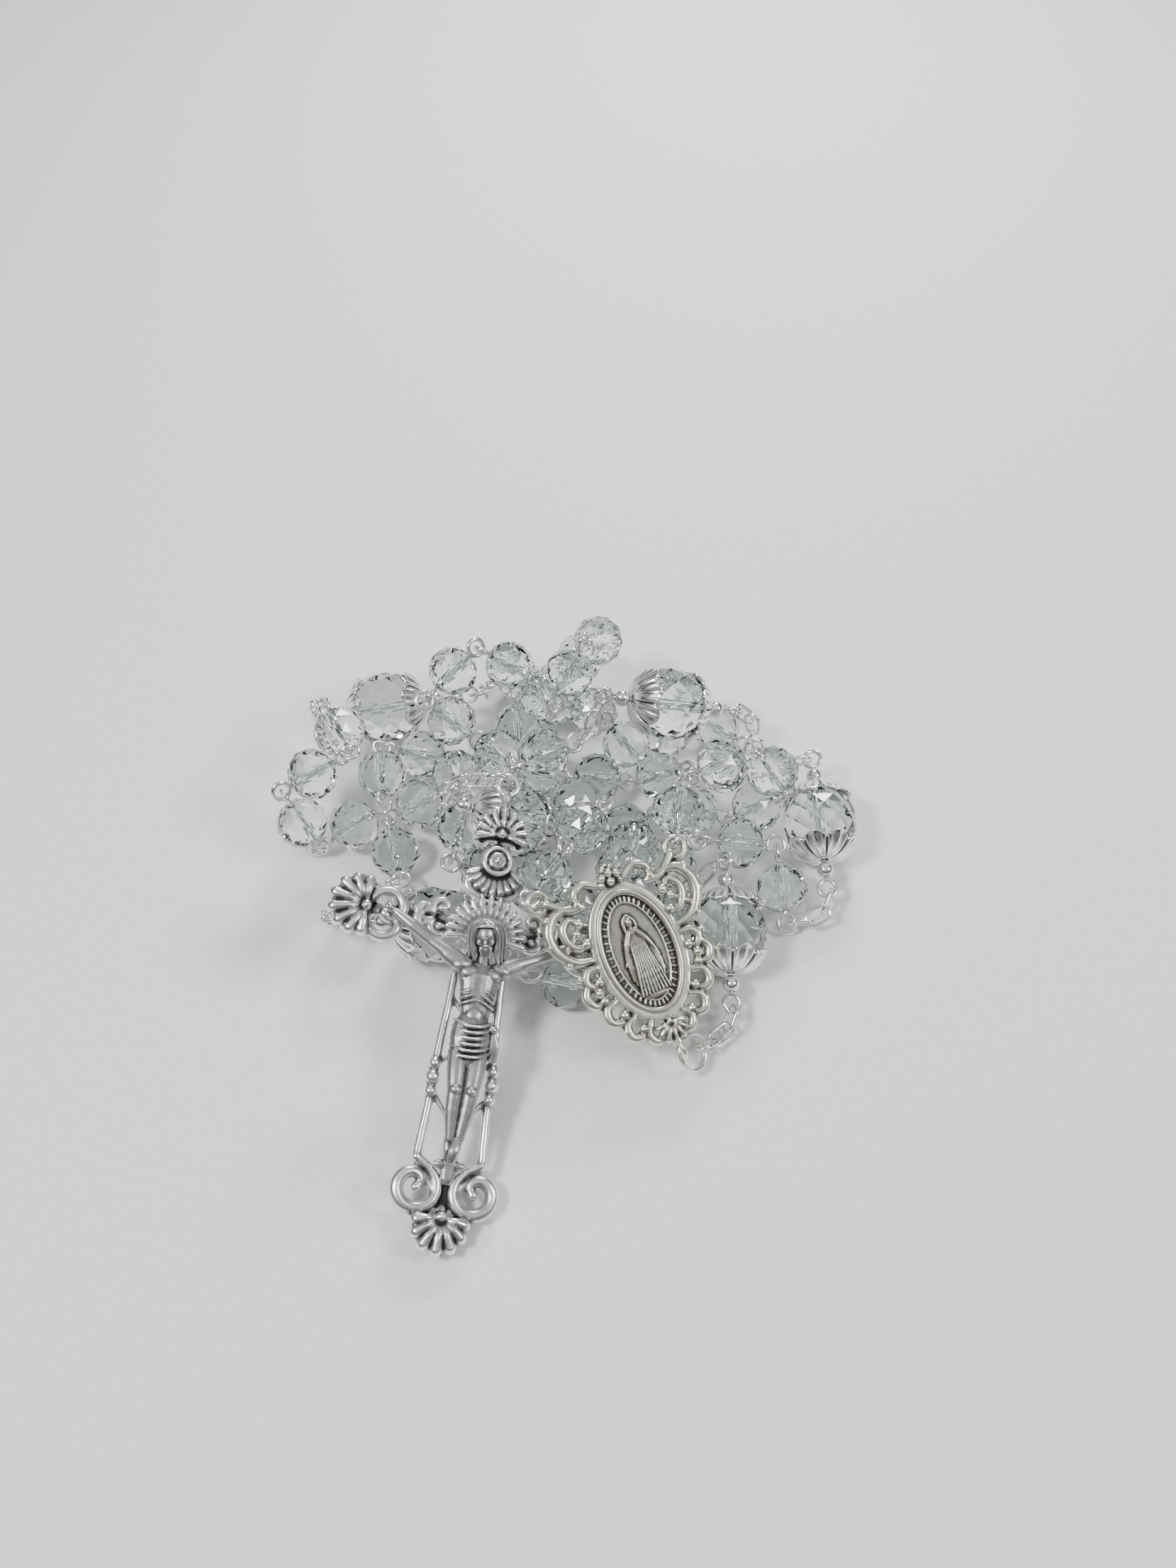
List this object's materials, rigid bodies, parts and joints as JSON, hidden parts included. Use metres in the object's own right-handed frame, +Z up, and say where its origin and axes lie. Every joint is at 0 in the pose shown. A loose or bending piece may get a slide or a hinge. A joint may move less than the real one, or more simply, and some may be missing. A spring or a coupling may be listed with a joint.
{
  "type": "rosary",
  "caption": "Crystal bead rosary lying in a heap, with faceted beads on silver eye pins, capped larger beads, an oval centre medal and an openwork crucifix.",
  "frame": {"origin": "on the table under the middle of the heap", "axes": "+Z up, the crucifix foot points to -Y, the capped bead beside the medal lies on the +X side"},
  "size_m": [0.0794, 0.091, 0.021],
  "materials": {
    "crystal": "clear cut crystal with flat facets",
    "wire": "bright silver-coloured wire",
    "links": "bright silver-coloured links",
    "rings": "bright silver-coloured jump rings",
    "caps": "antique silver with dark recesses",
    "medal_silver": "warm antique silver with dark recesses",
    "crucifix_silver": "antique silver with dark recesses"
  },
  "bodies": {
    "heap": {"decade_1_beads": "crystal", "decade_1_pins": "wire", "decade_2_beads": "crystal", "decade_2_pins": "wire", "decade_3_beads": "crystal", "decade_3_pins": "wire", "decade_4_beads": "crystal", "decade_4_pins": "wire", "decade_5_beads": "crystal", "decade_5_pins": "wire", "our_father_1_pin": "wire", "our_father_2_pin": "wire", "our_father_4_pin": "wire", "our_father_6_pin": "wire", "our_father_1_chains": "links", "our_father_2_chains": "links", "our_father_4_chains": "links", "pendant_bead_1_pin": "wire", "pendant_bead_2_pin": "wire", "pendant_bead_3_pin": "wire", "pendant_upper_chain": "links", "pendant_lower_chain": "links", "crucifix_chain": "links", "crucifix_jump_ring": "rings", "medal_frame": "medal_silver", "medal_plaque": "medal_silver", "medal_figure": "medal_silver"},
    "our_father_1_turning": {"our_father_1_bead": "crystal", "our_father_1_caps": "caps"},
    "our_father_2_turning": {"our_father_2_bead": "crystal", "our_father_2_caps": "caps"},
    "our_father_3_turning": {"our_father_3_bead": "crystal", "our_father_3_caps": "caps"},
    "our_father_4_turning": {"our_father_4_bead": "crystal", "our_father_4_caps": "caps"},
    "our_father_5_turning": {"our_father_5_bead": "crystal", "our_father_5_caps": "caps"},
    "our_father_6_turning": {"our_father_6_bead": "crystal", "our_father_6_caps": "caps"},
    "pendant_bead_1_turning": {"pendant_bead_1": "crystal"},
    "pendant_bead_2_turning": {"pendant_bead_2": "crystal"},
    "pendant_bead_3_turning": {"pendant_bead_3": "crystal"},
    "crucifix": {"crucifix_frame": "crucifix_silver", "crucifix_shells": "crucifix_silver", "crucifix_rosette": "crucifix_silver", "crucifix_halo": "crucifix_silver", "corpus": "crucifix_silver"},
    "our_father_5_stretch": {"medal_jump_ring": "rings", "medal_chain": "links", "our_father_5_pin": "wire"},
    "our_father_3_stretch": {"our_father_3_chains": "links", "our_father_3_pin": "wire"}
  },
  "joints": [
    {"name": "our_father_5_lift", "type": "hinge", "parent": "heap", "child": "our_father_5_stretch", "pos_m": [0.01458, -0.01977, 0.00509], "axis": [-0.2493, -0.9635, -0.098], "range_deg": [0, 25]},
    {"name": "our_father_3_lift", "type": "hinge", "parent": "heap", "child": "our_father_3_stretch", "pos_m": [0.02581, 0.02985, 0.00278], "axis": [0.9124, 0.2284, -0.3395], "range_deg": [0, 12]},
    {"name": "crucifix_swing", "type": "hinge", "parent": "heap", "child": "crucifix", "pos_m": [-0.00738, 0.01185, 0.01757], "axis": [-0.2375, 0.2965, -0.925], "range_deg": [0, 30]},
    {"name": "our_father_1_turn", "type": "hinge", "parent": "heap", "child": "our_father_1_turning", "pos_m": [-0.01704, -0.00206, 0.00551], "axis": [0.9722, 0.0752, -0.2218], "continuous": true},
    {"name": "our_father_2_turn", "type": "hinge", "parent": "heap", "child": "our_father_2_turning", "pos_m": [-0.02624, 0.03472, 0.00537], "axis": [-0.9874, -0.1056, -0.1174], "continuous": true},
    {"name": "our_father_3_turn", "type": "hinge", "parent": "our_father_3_stretch", "child": "our_father_3_turning", "pos_m": [0.01437, 0.02928, 0.0129], "axis": [-0.9379, -0.1217, 0.325], "continuous": true},
    {"name": "our_father_4_turn", "type": "hinge", "parent": "heap", "child": "our_father_4_turning", "pos_m": [0.03493, 0.01436, 0.00539], "axis": [-0.0431, 0.985, 0.1668], "continuous": true},
    {"name": "our_father_5_turn", "type": "hinge", "parent": "our_father_5_stretch", "child": "our_father_5_turning", "pos_m": [0.02145, -0.00307, 0.00556], "axis": [-0.0087, 0.9744, 0.2245], "continuous": true},
    {"name": "our_father_6_turn", "type": "hinge", "parent": "heap", "child": "our_father_6_turning", "pos_m": [-0.00722, 0.01129, 0.01043], "axis": [-0.8882, 0.0287, 0.4586], "continuous": true},
    {"name": "pendant_bead_1_turn", "type": "hinge", "parent": "heap", "child": "pendant_bead_1_turning", "pos_m": [0.01333, 0.00027, 0.00368], "axis": [-0.6422, -0.7539, 0.1388], "continuous": true},
    {"name": "pendant_bead_2_turn", "type": "hinge", "parent": "heap", "child": "pendant_bead_2_turning", "pos_m": [0.00941, -0.00051, 0.00957], "axis": [-0.1395, 0.473, 0.87], "continuous": true},
    {"name": "pendant_bead_3_turn", "type": "hinge", "parent": "heap", "child": "pendant_bead_3_turning", "pos_m": [0.00899, 0.00686, 0.0106], "axis": [0.0402, 0.8503, -0.5248], "continuous": true}
  ]
}
